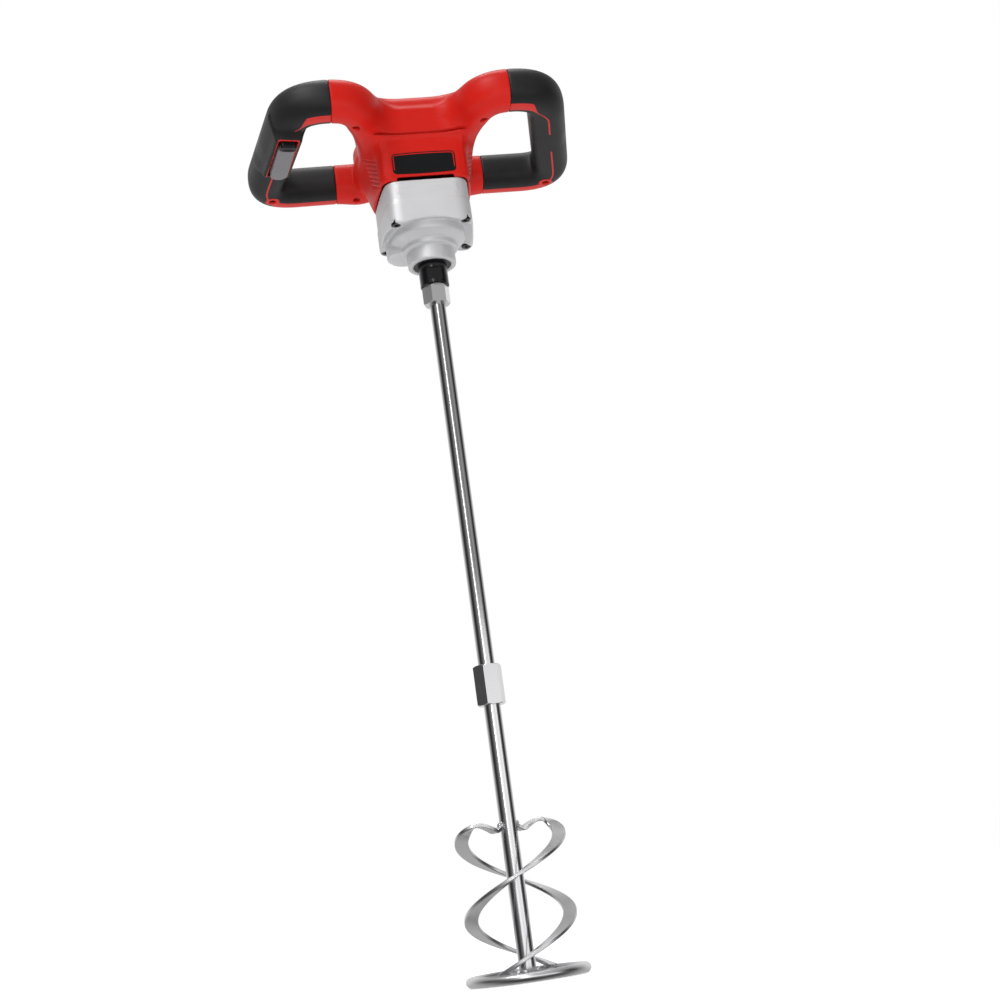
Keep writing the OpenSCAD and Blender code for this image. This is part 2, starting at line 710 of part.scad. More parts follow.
module ring_shape(extra) translate([0, 0, ring_z]) rotate_extrude($fn = 96)
    translate([ring_r - ring_tube, 0]) circle(r = ring_tube + extra);

module stirrer_ring() color("lightgray") ring_shape(0);

module cross_strip() color("lightgray") difference() {
    rotate([0, 0, 66]) translate([-ring_r + ring_tube, -5, ring_z - 1])
        cube([2 * (ring_r - ring_tube), 10, 3]);
    ring_shape(0);
    translate([0, 0, ring_z + 2]) cylinder(r = rod_r, h = 3);
}

// ---------- trigger ----------
module trigger() color("gray") difference() {
    at_trigger() union() {
        hull() {
            translate([-trigger_hw, -2, trigger_z0 + 2]) cube([2 * trigger_hw, 1, 12]);
            translate([0, trigger_len - trigger_hw, trigger_z0 - 1]) cylinder(r = trigger_hw, h = 13, $fn = 32);
        }
        translate([-trigger_hw, -3, 117]) cube([2 * trigger_hw, 8, 6.5]);
    }
    at_trigger() translate([-20, 0, pivot_z]) rotate([0, 90, 0]) cylinder(r = 1.5 + run, h = 40);
    at_trigger() translate([0, 26, 114]) cylinder(r = 3.4, h = 10);
}

module trigger_spring() color("silver") at_trigger() translate([0, 26, 0])
    helical_spring(2.1, 0.35, 114, 14.5, 5);

module lock_button() color("black") at_trigger() difference() {
    hull() {
        translate([-5.5, -12.5, 109]) cube([11, 8.5, 12]);
        translate([-4.5, -11.5, 107.5]) cube([9, 6.5, 2]);
    }
    translate([0, -8.2, 117]) cylinder(r = 2.6, h = 8);
}

module lock_spring() color("silver") at_trigger() translate([0, -8.2, 0])
    helical_spring(1.6, 0.3, 117, 8.5, 4);

housing_top();
housing_bottom();
grip_left();
grip_right();
label_plate();
battery_dock();
dock_terminals();
housing_screws();
switch_module();
trigger_pin();
wiring();
gearbox_housing();
gearbox_cover();
gearbox_screws();
dust_seal();
nose_bearing();
retaining_ring();
spindle_bearing();
lower_mid_bearing();
upper_mid_bearing();
motor_plate();
motor_can();
motor_magnets();
motor_bushes();
brush_cap();
brushes();
motor_screws();
spindle();
output_gear();
stirrer_nut();
upper_rod();
coupling_nut();
lower_rod();
ribbon_a();
ribbon_b();
cross_strip();
stirrer_ring();
mid_shaft();
mid_gear();
rotor_shaft();
armature();
windings();
commutator();
fan();
motor_pinion();
trigger();
trigger_spring();
lock_button();
lock_spring();
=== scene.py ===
import json
import math

import bpy
import numpy as np
from mathutils import Matrix, Vector


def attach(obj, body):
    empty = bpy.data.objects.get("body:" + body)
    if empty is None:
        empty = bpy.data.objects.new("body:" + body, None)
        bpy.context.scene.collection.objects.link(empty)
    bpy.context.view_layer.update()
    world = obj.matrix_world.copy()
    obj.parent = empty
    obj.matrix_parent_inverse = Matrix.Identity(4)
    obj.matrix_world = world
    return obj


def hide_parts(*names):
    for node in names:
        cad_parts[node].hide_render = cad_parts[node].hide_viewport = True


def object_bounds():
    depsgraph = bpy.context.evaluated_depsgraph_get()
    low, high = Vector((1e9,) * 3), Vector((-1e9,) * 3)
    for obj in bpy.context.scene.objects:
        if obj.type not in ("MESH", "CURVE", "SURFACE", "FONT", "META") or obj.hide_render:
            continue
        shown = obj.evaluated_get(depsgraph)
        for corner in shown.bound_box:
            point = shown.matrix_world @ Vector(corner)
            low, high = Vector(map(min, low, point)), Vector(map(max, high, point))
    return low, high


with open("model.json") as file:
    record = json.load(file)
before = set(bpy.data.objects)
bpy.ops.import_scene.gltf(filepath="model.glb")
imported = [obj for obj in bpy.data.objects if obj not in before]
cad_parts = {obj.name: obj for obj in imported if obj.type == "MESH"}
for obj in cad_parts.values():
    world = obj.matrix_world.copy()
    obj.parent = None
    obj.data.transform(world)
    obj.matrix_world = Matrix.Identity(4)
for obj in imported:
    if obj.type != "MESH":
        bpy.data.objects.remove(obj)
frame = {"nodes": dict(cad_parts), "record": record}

cad_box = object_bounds()
nodes = frame["nodes"]
MM = 0.001

# ---------------------------------------------------------------- driving sizes, in millimetres
# handle loops: the right one's middle line from above, the reach of its bends, and the bars' half sizes
LOOP_CORNERS = [(30, 6), (58, -64), (110, -66), (140.5, 92), (38, 91), (34, 48)]
LOOP_BENDS = [20, 31, 32, 16]
LOOP_Z = 132.0
BAR_A, BAR_B = 17.0, 17.5
BAR_LEAN = math.radians(10.9)
GRIP_FRONT_X, GRIP_REAR_X = 77.0, 70.0
GRIP_INSET = 0.12
GRIP_SCREW = (131.5, 83)
TRIGGER_AT = (-117.5, -26.0)
# body shell
FACE_Y, FACE_HALF, FLANK_RUN = -38.0, 38.0, 34
CHAMFER_X, CHAMFER_Y = 11, 16
BODY_Z0, BODY_TOP, SHOULDER_Z0, SHOULDER_TOP = 67.0, 136.0, 134.0, 148.0
TOWER_FRONT = [(-38, 116), (-33, 149), (-8, 162)]
TOWER_SIDE = [(37, 116), (35, 149), (29, 162)]
TOWER_Z0, TOWER_TOP, TOWER_REAR = 114, 161.6, 12
WALL, CREASE_Z, RIDGE_Z = 2.6, 111.4, 108.6
VENT_SLOPE, VENT_Y, VENT_Z, VENT_PITCH = 0.6, -18, 74, 4.2
BODY_SCREWS = [(56, -50), (52, 88)]
# casting: outline, the radii of its round steps, and the axis of the intermediate shaft
CAST_FRONT, CAST_HALF, CAST_REAR, CAST_Z0, CAST_TOP = -38, 43, 32, 26.5, 66.9
BOSS_R, NECK_R, COLLAR_R, LOBE_R = 33, 24.6, 21.5, 17
CAST_SCREWS = [(30.2, -31), (36.8, 24.5)]
MID = (24 * math.cos(math.radians(150)), 12.0)
ROTOR = (0, 12.8)
# radius, bottom, top, x and y of each bore, clear of everything that turns
BORES = [(16.75, -9, 7.5, 0, 0), (17.5, 5.5, 30, 0, 0), (18.4, 15.5, 17, 0, 0), (20.5, 28, 48.1, 0, 0),
         (14, 40, 50.1, 0, 0), (11, 19, 26, *MID), (9.6, 25, 60, *MID), (17.3, 52.5, 80, *MID),
         (16, 59.5, 80, *ROTOR), (8.2, 52.5, 80, *ROTOR)]
# label and lock-off button
LABEL_W, LABEL_H, LABEL_Z0, LABEL_Y = 56.4, 21.0, 72.0, -38.4
BUTTON_W, BUTTON_H, BUTTON_V = 15.0, 9.4, 8.4
BUTTON_ROWS = [(0.6, 118.0), (0.0, 116.0), (0.0, 106.6), (0.25, 105.8), (0.9, 105.2), (1.8, 105.1),
               (2.6, 105.5), (3.6, 105.8)]
# stirrer: ring, spiral ribbons, and the radius, angle and height of points along a ribbon's arched top
RING_Z, RING_TUBE = -605.5, 4.0
RIBBON_R, RIBBON_W, RIBBON_T = 39.5, 11.0, 3.0
RIBBON_TOP, RIBBON_TURN, RIBBON_START = 109.0, 310.0, 1.0
ARCH = [(RIBBON_R, 0, RIBBON_TOP), (38.5, 7, 112), (36, 13, 115.5), (32, 17, 118), (27, 20, 118.5),
        (22, 22, 117), (17, 23, 114.5), (13, 23, 112.5), (9.5, 23, 114), (6.4, 23, 116.5)]
# sampling of the distance fields
VOXEL_SHELL = 0.8
VOXEL_GRIP = 0.8
SHRINK, GROW = 0.55, -0.57
NOWHERE = 9.0


# ---------------------------------------------------------------- shader nodes
def plug(tree, node, sockets):
    """Gives each socket a plain value or another node's output."""
    for name, value in sockets.items():
        if isinstance(value, bpy.types.NodeSocket):
            tree.links.new(value, node.inputs[name])
        else:
            node.inputs[name].default_value = value
    return node


def noise(tree, place, scale, detail):
    sockets = {"Vector": place, "Scale": scale, "Detail": detail}
    return plug(tree, tree.nodes.new("ShaderNodeTexNoise"), sockets).outputs["Fac"]


def map_range(tree, value, from_min, from_max, to_min=0.0, to_max=1.0, curve="LINEAR"):
    node = tree.nodes.new("ShaderNodeMapRange")
    node.interpolation_type = curve
    sockets = {"Value": value, "From Min": from_min, "From Max": from_max, "To Min": to_min, "To Max": to_max}
    return plug(tree, node, sockets).outputs["Result"]


def mix_colour(tree, factor, a, b):
    node = tree.nodes.new("ShaderNodeMix")
    node.data_type = "RGBA"
    return plug(tree, node, {"Factor": factor, "A": a, "B": b}).outputs["Result"]


def calculate(tree, operation, a, b):
    node = tree.nodes.new("ShaderNodeMath")
    node.operation = operation
    return plug(tree, node, {0: a, 1: b}).outputs["Value"]


def tinted(color, factor, lift=0.0):
    return (*[min(1.0, c * factor + lift) for c in color], 1)


def grey(value):
    return (value, value, value, 1)


# ---------------------------------------------------------------- materials
DRIFT_SCALE, DRIFT_DETAIL, GRAIN_DETAIL = 38.0, 5.0, 3.0
WEAR_FROM, WEAR_TO, WEAR_TINT, WEAR_LIFT = 0.52, 0.62, 1.5, 0.05
LEAST_ROUGH = 0.02


def make_material(name, color, rough, metallic=0.0, coat=0.0, coat_rough=0.1, vary=0.12, grain=900.0,
                  bump=0.15, depth=0.0001, wear=0.0, specular=0.5, rough_vary=0.12):
    """A procedural finish: colour and roughness drift, a fine grain bump, and paler worn edges."""
    mat = bpy.data.materials.new(name)
    mat.use_nodes = True
    tree = mat.node_tree
    place = tree.nodes.new("ShaderNodeTexCoord").outputs["Object"]
    drift = noise(tree, place, DRIFT_SCALE, DRIFT_DETAIL)
    base = mix_colour(tree, drift, tinted(color, 1 - vary), tinted(color, 1 + vary))
    if wear:
        pointiness = tree.nodes.new("ShaderNodeNewGeometry").outputs["Pointiness"]
        edge = map_range(tree, pointiness, WEAR_FROM, WEAR_TO, to_max=wear)
        base = mix_colour(tree, edge, base, tinted(color, WEAR_TINT, WEAR_LIFT))
    smoothest = max(LEAST_ROUGH, rough * (1 - rough_vary))
    roughness = map_range(tree, drift, 0.0, 1.0, smoothest, rough * (1 + rough_vary))
    grains = noise(tree, place, grain, GRAIN_DETAIL)
    sockets = {"Strength": bump, "Distance": depth, "Height": grains}
    relief = plug(tree, tree.nodes.new("ShaderNodeBump"), sockets)
    plug(tree, tree.nodes["Principled BSDF"], {
        "Base Color": base, "Roughness": roughness, "Normal": relief.outputs["Normal"], "Metallic": metallic,
        "Coat Weight": coat, "Coat Roughness": coat_rough, "Specular IOR Level": specular})
    return mat


RED = (0.45, 0.010, 0.006)
RUBBER = (0.010, 0.010, 0.011)
PATCH_BLACK = (0.002, 0.002, 0.002)
FINISHES = {
    "red_plastic": dict(color=RED, rough=0.38, vary=0.06, grain=1300, bump=0.12, wear=0.12, specular=0.12),
    "grip_rubber": dict(color=RUBBER, rough=0.5, vary=0.3, grain=1100, bump=0.55, depth=0.00025,
                        specular=0.28),
    "label_black": dict(color=(0.004, 0.0045, 0.005), rough=0.3, vary=0.2, grain=700, bump=0.05,
                        specular=0.18),
    "black_plastic": dict(color=(0.02, 0.02, 0.022), rough=0.45, vary=0.2, grain=1200, bump=0.3),
    "brass": dict(color=(0.72, 0.46, 0.16), rough=0.28, metallic=1.0, vary=0.1, grain=600),
    "screw_steel": dict(color=(0.38, 0.38, 0.40), rough=0.3, metallic=1.0, vary=0.15, grain=800),
    "cable_black": dict(color=(0.015, 0.015, 0.016), rough=0.4, vary=0.2, grain=900, bump=0.2),
    "cast_aluminium": dict(color=(0.55, 0.55, 0.56), rough=0.48, metallic=0.45, vary=0.05, grain=1500,
                           bump=0.4, depth=0.00012, wear=0.15),
    "motor_plate": dict(color=(0.5, 0.5, 0.52), rough=0.35, metallic=1.0, vary=0.08, grain=500),
    "seal_rubber": dict(color=(0.012, 0.012, 0.012), rough=0.4, vary=0.2, grain=900, bump=0.2),
    "bearing_steel": dict(color=(0.62, 0.62, 0.64), rough=0.16, metallic=1.0, vary=0.05, grain=500,
                          bump=0.05),
    "can_steel": dict(color=(0.40, 0.40, 0.42), rough=0.34, metallic=1.0, vary=0.1, grain=700),
    "magnet": dict(color=(0.06, 0.06, 0.065), rough=0.6, vary=0.2, grain=1000, bump=0.4),
    "ivory_plastic": dict(color=(0.72, 0.68, 0.56), rough=0.42, vary=0.06, grain=1000),
    "carbon": dict(color=(0.03, 0.03, 0.032), rough=0.62, vary=0.2, grain=1500, bump=0.4),
    "black_steel": dict(color=(0.004, 0.004, 0.005), rough=0.2, coat=0.15, coat_rough=0.06, vary=0.2,
                        grain=500, bump=0.06),
    "gear_steel": dict(color=(0.48, 0.48, 0.5), rough=0.3, metallic=1.0, vary=0.1, grain=700),
    "chrome_steel": dict(color=(0.60, 0.60, 0.61), rough=0.16, metallic=1.0, vary=0.07, grain=420, bump=0.10,
                         depth=0.00008, rough_vary=0.3),
    "lamination": dict(color=(0.25, 0.26, 0.28), rough=0.4, metallic=1.0, vary=0.15, grain=2000, bump=0.5),
    "copper": dict(color=(0.60, 0.25, 0.10), rough=0.3, metallic=1.0, vary=0.15, grain=900, bump=0.4),
    "trigger_grey": dict(color=(0.13, 0.126, 0.134), rough=0.34, vary=0.08, grain=1200, bump=0.15),
    "button_black": dict(color=(0.003, 0.003, 0.003), rough=0.22, vary=0.2, grain=600, bump=0.04,
                         specular=0.35),
    "chrome_steel_dull": dict(color=(0.62, 0.62, 0.63), rough=0.31, metallic=1.0, vary=0.25, grain=420,
                              bump=0.2, rough_vary=0.3),
    "chrome_steel_satin": dict(color=(0.86, 0.86, 0.87), rough=0.34, metallic=1.0, vary=0.1, grain=420,
                               bump=0.2),
}
materials = {name: make_material(name, **finish) for name, finish in FINISHES.items()}
# parts of the stirrer that are less bright than its rods
DULLER = {"stirrer_ring": "chrome_steel_dull", "stirrer_nut": "chrome_steel_satin"}

for entry in frame["record"]["subparts"]:
    node = nodes[entry["node"]]
    node.data.materials.clear()
    node.data.materials.append(materials[DULLER.get(entry["node"], entry["material_slot"])])


def grip_material():
    """Textured rubber, with red plastic and smooth patches where the mesh's attributes ask for them."""
    edge_fade, plain_rough, rubber_bump, plain_bump = 0.12, 0.42, 0.55, 0.06
    mat = materials["grip_rubber"].copy()
    mat.name = "grip_rubber_banded"
    tree = mat.node_tree
    bsdf = tree.nodes["Principled BSDF"]
    rubber = bsdf.inputs["Base Color"].links[0].from_socket
    rough = bsdf.inputs["Roughness"].links[0].from_socket
    relief = next(node for node in tree.nodes if node.type == "BUMP")

    def mask(attribute):
        """1 where the attribute, a distance to an area, is negative."""
        at = tree.nodes.new("ShaderNodeAttribute")
        at.attribute_name = attribute
        return map_range(tree, at.outputs["Fac"], edge_fade, -edge_fade)

    red, patch = mask("red_band"), mask("smooth_patch")
    either = calculate(tree, "MAXIMUM", red, patch)
    base = mix_colour(tree, red, mix_colour(tree, patch, rubber, (*PATCH_BLACK, 1)), (*RED, 1))
    mixed = plug(tree, tree.nodes.new("ShaderNodeMix"), {"Factor": either, "A": rough, "B": plain_rough})
    plug(tree, bsdf, {"Base Color": base, "Roughness": mixed.outputs["Result"]})
    plug(tree, relief, {"Strength": map_range(tree, either, 0.0, 1.0, rubber_bump, plain_bump)})
    return mat


# ---------------------------------------------------------------- distance fields
def smin(a, b, k):
    """The lesser of two fields, with a blend about k wide."""
    h = np.maximum(k - np.abs(a - b), 0.0)
    return np.minimum(a, b) - h * h / (4 * k)


def smax(a, b, k):
    return -smin(-a, -b, k)


def smooth_step(a, b, x):
    t = np.clip((x - a) / (b - a), 0, 1)
    return t * t * (3 - 2 * t)


def window(x, a, b, c, d):
    """Rises from 0 to 1 between a and b, and falls back between c and d."""
    return smooth_step(a, b, x) * (1 - smooth_step(c, d, x))


def hump(x, centre, width):
    return np.exp(-((x - centre) / width) ** 2)


def rounded_path(corners, bends, steps):
    """A polyline whose inner corners are rounded, as the frame's handle bars are."""
    points = [np.array(corners[0], float)]
    for i, bend in enumerate(bends, 1):
        a, c, b = (np.array(corners[i + k], float) for k in (-1, 0, 1))
        p = c + bend * (a - c) / np.linalg.norm(a - c)
        r = c + bend * (b - c) / np.linalg.norm(b - c)
        for k in range(steps + 1):
            t = k / steps
            points.append((1 - t) ** 2 * p + 2 * t * (1 - t) * c + t * t * r)
    points.append(np.array(corners[-1], float))
    return np.array(points)


LOOP_PATH = rounded_path(LOOP_CORNERS, LOOP_BENDS, 20)


def path_offset(px, py):
    """Distance to the loop's middle line, positive outwards."""
    best = np.full(np.broadcast(px, py).shape, 1e9)
    side = np.ones(best.shape)
    for p, q in zip(LOOP_PATH[:-1], LOOP_PATH[1:]):
        d = q - p
        if d @ d < 1e-9:
            continue
        t = np.clip(((px - p[0]) * d[0] + (py - p[1]) * d[1]) / (d @ d), 0, 1)
        ex, ey = px - p[0] - t * d[0], py - p[1] - t * d[1]
        m = ex * ex + ey * ey
        closer = m < best
        best = np.where(closer, m, best)
        side = np.where(closer, np.where(d[0] * ey - d[1] * ex > 0, -1.0, 1.0), side)
    return np.sqrt(best) * side


def bar_field(offset, z, a, b, power=2.5):
    """A handle bar, whose section is a rounded box a by b in half sizes."""
    g = (np.abs(offset / a) ** power + np.abs((z - LOOP_Z) / b) ** power) ** (1 / power)
    return (g - 1) * a


def box_field(x, y, z, lo, hi, k=1.0):
    d = smax(lo[0] - x, x - hi[0], k)
    d = smax(d, smax(lo[1] - y, y - hi[1], k), k)
    return smax(d, smax(lo[2] - z, z - hi[2], k), k)


def drum_field(r, z, radius, z0, z1, k_ends, k):
    """An upright cylinder round the axis that r is measured from."""
    return smax(r - radius, smax(z0 - z, z - z1, k_ends), k)


def plane(u, v, p, q):
    """Signed distance to the line from p to q, positive on its right-hand side."""
    d = np.array(q, float) - np.array(p, float)
    d = d / np.linalg.norm(d)
    return (u - p[0]) * d[1] - (v - p[1]) * d[0]


def to_trigger(x, y):
    """Places across and along the left outer bar, from the trigger's middle."""
    c, s = math.cos(BAR_LEAN), math.sin(BAR_LEAN)
    dx, dy = x - TRIGGER_AT[0], y - TRIGGER_AT[1]
    return c * dx + s * dy, -s * dx + c * dy


def from_trigger(u, v):
    c, s = math.cos(BAR_LEAN), math.sin(BAR_LEAN)
    return TRIGGER_AT[0] + c * u - s * v, TRIGGER_AT[1] + s * u + c * v


def body_field(x, y, z, inset=0.0):
    """The body shell's form, which widens upwards to the handle bars."""
    ax = np.abs(x)
    up = np.clip((z - BODY_Z0) / (100 - BODY_Z0), 0, 1)
    half = 44 + 6 * up
    rear = 42 + 18 * up
    spread_x = half - FACE_HALF
    slant = ((ax - FACE_HALF) * FLANK_RUN - (y - FACE_Y) * spread_x) / np.hypot(FLANK_RUN, spread_x)
    chamfer = (ax - half) * CHAMFER_Y + (y - rear + CHAMFER_Y) * CHAMFER_X
    d = smax(FACE_Y - y, slant, 9)
    d = smax(d, ax - half, 6)
    d = smax(d, chamfer / math.hypot(CHAMFER_Y, CHAMFER_X), 6)
    d = smax(d, y - rear, 6)
    return d + inset


# ---------------------------------------------------------------- meshes
def net_points(f, inside, xs, ys, zs):
    """One point in each cell that the surface crosses, and the cells' numbers."""
    corners = [(i, j, k) for i in (0, 1) for j in (0, 1) for k in (0, 1)]
    nx, ny, nz = f.shape

    def at_corner(a, c):
        return a[c[0]:nx - 1 + c[0], c[1]:ny - 1 + c[1], c[2]:nz - 1 + c[2]]

    count = sum(at_corner(inside, c).astype(np.int8) for c in corners)
    active = (count > 0) & (count < len(corners))
    cell = np.argwhere(active)
    ids = np.full(active.shape, -1, np.int64)
    ids[active] = np.arange(len(cell))
    values = [at_corner(f, c)[active] for c in corners]
    total = np.zeros((len(cell), 3))
    hits = np.zeros(len(cell))
    for a in range(len(corners)):
        for b in range(a + 1, len(corners)):
            ca, cb = np.array(corners[a]), np.array(corners[b])
            if np.abs(ca - cb).sum() != 1:
                continue
            fa, fb = values[a], values[b]
            crossing = (fa < 0) != (fb < 0)
            t = np.where(crossing, fa / np.where(crossing, fa - fb, 1), 0)
            total += np.where(crossing[:, None], ca + t[:, None] * (cb - ca), 0)
            hits += crossing
    step = np.array([xs[1] - xs[0], ys[1] - ys[0], zs[1] - zs[0]])
    return (cell + total / hits[:, None]) * step + np.array([xs[0], ys[0], zs[0]]), ids


def net_faces(inside, ids):
    """A quad round each grid edge that the surface crosses."""
    quads = []
    for axis, (u, v) in enumerate([(1, 2), (2, 0), (0, 1)]):
        low = [slice(None)] * 3
        high = [slice(None)] * 3
        low[axis], high[axis] = slice(0, -1), slice(1, None)
        at = np.argwhere(inside[tuple(low)] != inside[tuple(high)])
        last_u, last_v = inside.shape[u] - 1, inside.shape[v] - 1
        at = at[(at[:, u] > 0) & (at[:, v] > 0) & (at[:, u] < last_u) & (at[:, v] < last_v)]
        ring = []
        for du, dv in ((-1, -1), (0, -1), (0, 0), (-1, 0)):
            c = at.copy()
            c[:, u] += du
            c[:, v] += dv
            ring.append(ids[c[:, 0], c[:, 1], c[:, 2]])
        q = np.stack(ring, 1)
        flip = ~inside[at[:, 0], at[:, 1], at[:, 2]]
        q[flip] = q[flip][:, ::-1]
        quads.append(q)
    return np.concatenate(quads)


def surface_net(f, xs, ys, zs, relax=3):
    """A quad mesh through the zero level of a sampled field, with smoothed points."""
    inside = f < 0
    verts, ids = net_points(f, inside, xs, ys, zs)
    quads = net_faces(inside, ids)
    edges = np.unique(np.sort(np.concatenate([quads[:, [i, (i + 1) % 4]] for i in range(4)]), 1), axis=0)
    degree = np.bincount(edges.ravel(), minlength=len(verts)).astype(float)
    for factor in (SHRINK, GROW) * relax:
        mean = np.zeros_like(verts)
        for c in range(3):
            mean[:, c] = (np.bincount(edges[:, 0], verts[edges[:, 1], c], len(verts))
                          + np.bincount(edges[:, 1], verts[edges[:, 0], c], len(verts))) / degree
        verts = verts + factor * (mean - verts)
    return verts, quads


def new_piece(name, verts, faces, material, body="body", smooth=True):
    mesh = bpy.data.meshes.new(name)
    mesh.from_pydata((np.asarray(verts) * MM).tolist(), [], [list(map(int, f)) for f in faces])
    mesh.validate()
    if smooth:
        mesh.polygons.foreach_set("use_smooth", [True] * len(mesh.polygons))
    mesh.materials.append(material)
    obj = bpy.data.objects.new(name, mesh)
    bpy.context.scene.collection.objects.link(obj)
    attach(obj, body)
    return obj


def split_edges(obj, name, degrees):
    """Shades an object sharply across edges that bend more than the angle."""
    obj.modifiers.new(name, "EDGE_SPLIT").split_angle = math.radians(degrees)


def axes(lo, hi, h):
    return [np.arange(lo[i] - 2 * h, hi[i] + 3 * h, h) for i in range(3)]


def spread(xs, ys, zs):
    return xs[:, None, None], ys[None, :, None], zs[None, None, :]


# ---------------------------------------------------------------- red housing
def body_form(x, y, z):
    """The body, its shoulders, the loops' red arms and the raised middle of the top, blended together."""
    ax = np.abs(x)
    # the arms are a little deeper where they run into the body
    deep = BAR_B + 2.5 * (1 - smooth_step(48, 72, ax)) * (z < LOOP_Z)
    arms = bar_field(path_offset(ax, y), z, BAR_A - 0.15, deep)
    block = smax(smax(body_field(x, y, z), BODY_Z0 - z, 2.5), z - BODY_TOP, 5)
    shoulders = body_field(x, y, z, 0.4) + np.clip(z - SHOULDER_Z0, 0, 20) * 0.33
    shoulders = smax(smax(shoulders, z - SHOULDER_TOP, 7), 128 - z, 2)
    low, knee, peak = TOWER_FRONT
    tower = smax(-plane(y, z, low, knee), -plane(y, z, knee, peak), 5)
    low, knee, peak = TOWER_SIDE
    side = smax(plane(ax, z, low, knee), plane(ax, z, knee, peak), 4)
    ends = smax(smax(z - TOWER_TOP, y - TOWER_REAR, 2), TOWER_Z0 - z, 1)
    tower = smax(smax(tower, side, 4), ends, 4)
    return smin(smin(smin(block, shoulders, 5), arms, 16), tower, 4)


def face_relief(x, y, z):
    """How far the front face and the flanks are set back: a panel over a crease, soft edges, and vents."""
    ax = np.abs(x)
    front = (1 - smooth_step(32, 46, ax)) * (1 - smooth_step(-30, -16, y))
    panel = window(z, CREASE_Z - 1, CREASE_Z, 115, 134)
    relief = front * (0.8 * panel + 2.1 * hump(z, CREASE_Z, 1.0) - 1.2 * hump(z, RIDGE_Z, 1.8))
    relief = relief - 0.5 * hump(ax, 36.5, 1.8) * (y < -26) * window(z, 70, 74, 104, 110)
    # slanted ribs of the vents on both flanks
    along = z - VENT_SLOPE * (y - VENT_Y)
    flank = window(y, -30, -26, -8, -4) * window(along, 71, 73, 99, 101) * (ax > 36)
    wave = np.cos((along - VENT_Z) * 2 * math.pi / VENT_PITCH)
    return relief - flank * (0.8 * wave - 0.5)


def build_housing():
    xs, ys, zs = axes((-81, -84, 66), (81, 110, 163), VOXEL_SHELL)
    x, y, z = spread(xs, ys, zs)
    ax = np.abs(x)
    f = body_form(x, y, z) + face_relief(x, y, z)
    air_slot = box_field(x, y, z, (-25, -60, 62), (25, -27, 70.2), 1.5)
    battery_bay = box_field(x, y, z, (-34.2, 12, 136), (34.2, 90, 190), 1.0)
    f = smax(smax(f, -air_slot, 0.8), -battery_bay, 1.5)
    # the hollow body, with a thicker front wall behind the crease
    cavity = smax(body_field(x, y, z, WALL), z - 133, 2)
    cavity = smax(cavity, -32.4 - y - 3 * (1 - smooth_step(98, 101, z)), 0.5)
    f = smax(f, -cavity, 0.8)
    # ends of the red arms, where the grips take over
    limit = np.where(y < 20, GRIP_FRONT_X, GRIP_REAR_X) + 0.6
    f = smax(f, ax - limit, 0.6)
    for px, py in BODY_SCREWS:
        hole = np.hypot(ax - px, y - py) - 3.3
        f = smax(f, -smax(hole, z - 119.6, 0.5), 0.6)
    verts, quads = surface_net(f, xs, ys, zs, relax=2)
    shell = new_piece("housing_shell", verts, quads, materials["red_plastic"])
    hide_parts("housing_top", "housing_bottom")


# ---------------------------------------------------------------- soft grips
def trigger_housing(x, y, z):
    """The bulge under the left outer bar, and the trigger's slot in it."""
    u, v = to_trigger(x, y)
    rise = np.clip((z - 109.5) / 12.5, 0, 1.6)
    bulge = smax(np.abs(u) - 11.5 - 3.5 * rise, smax(-15 - 4 * rise - v, v - 52 - 4 * rise, 3), 2)
    bulge = smax(smax(bulge, 109.6 - z, 1.2), z - LOOP_Z, 2)
    return bulge, box_field(u, v, z, (-8.3, -14, 90), (8.3, 52, 134), 1.2)


def red_bands(verts, left):
    """Distance of each point to the grip's red bands, negative inside them."""
    px, py, pz = np.abs(verts[:, 0]), verts[:, 1], verts[:, 2]
    outer_bar = smooth_step(-62, -36, py)
    rear = smooth_step(74, 86, py) * (1 - smooth_step(126, 140, px))
    inner_end = (py < -38) * (1 - smooth_step(98, 106, px))
    centre = -6.5 + 7.5 * outer_bar + 7.5 * inner_end + 2.5 * rear
    width = 0.7 + 4.6 * inner_end + 5.2 * rear
    band = np.abs(path_offset(px, py) - centre) - width
    gap_from, gap_to = (-48, 34) if left else (-12, 20)
    band = np.where((py > gap_from) & (py < gap_to) & (px > 100), NOWHERE, band)
    band = np.where(pz < LOOP_Z - 3, band, NOWHERE)
    boss = np.hypot(px - GRIP_SCREW[0], py - GRIP_SCREW[1]) - 6.6
    band = np.where(pz < 122, np.minimum(band, boss), band)
    if left:
        u, v = to_trigger(verts[:, 0], verts[:, 1])
        rim = np.maximum(np.abs(u) - 9.6, np.maximum(-15.4 - v, v - 53.0))
        band = np.where(pz < 111.6, np.minimum(band, rim), band)
    return band


def smooth_patches(verts, left):
    """Distance of each point to the smooth patch on the outer bar."""
    px, py, pz = np.abs(verts[:, 0]), verts[:, 1], verts[:, 2]
    middle = 2 if left else 6
    patch = np.maximum(np.maximum(np.abs(py - middle) - 9, np.abs(pz - 128) - 11), 120 - px)
    return np.where(path_offset(px, py) > 8, patch, NOWHERE)


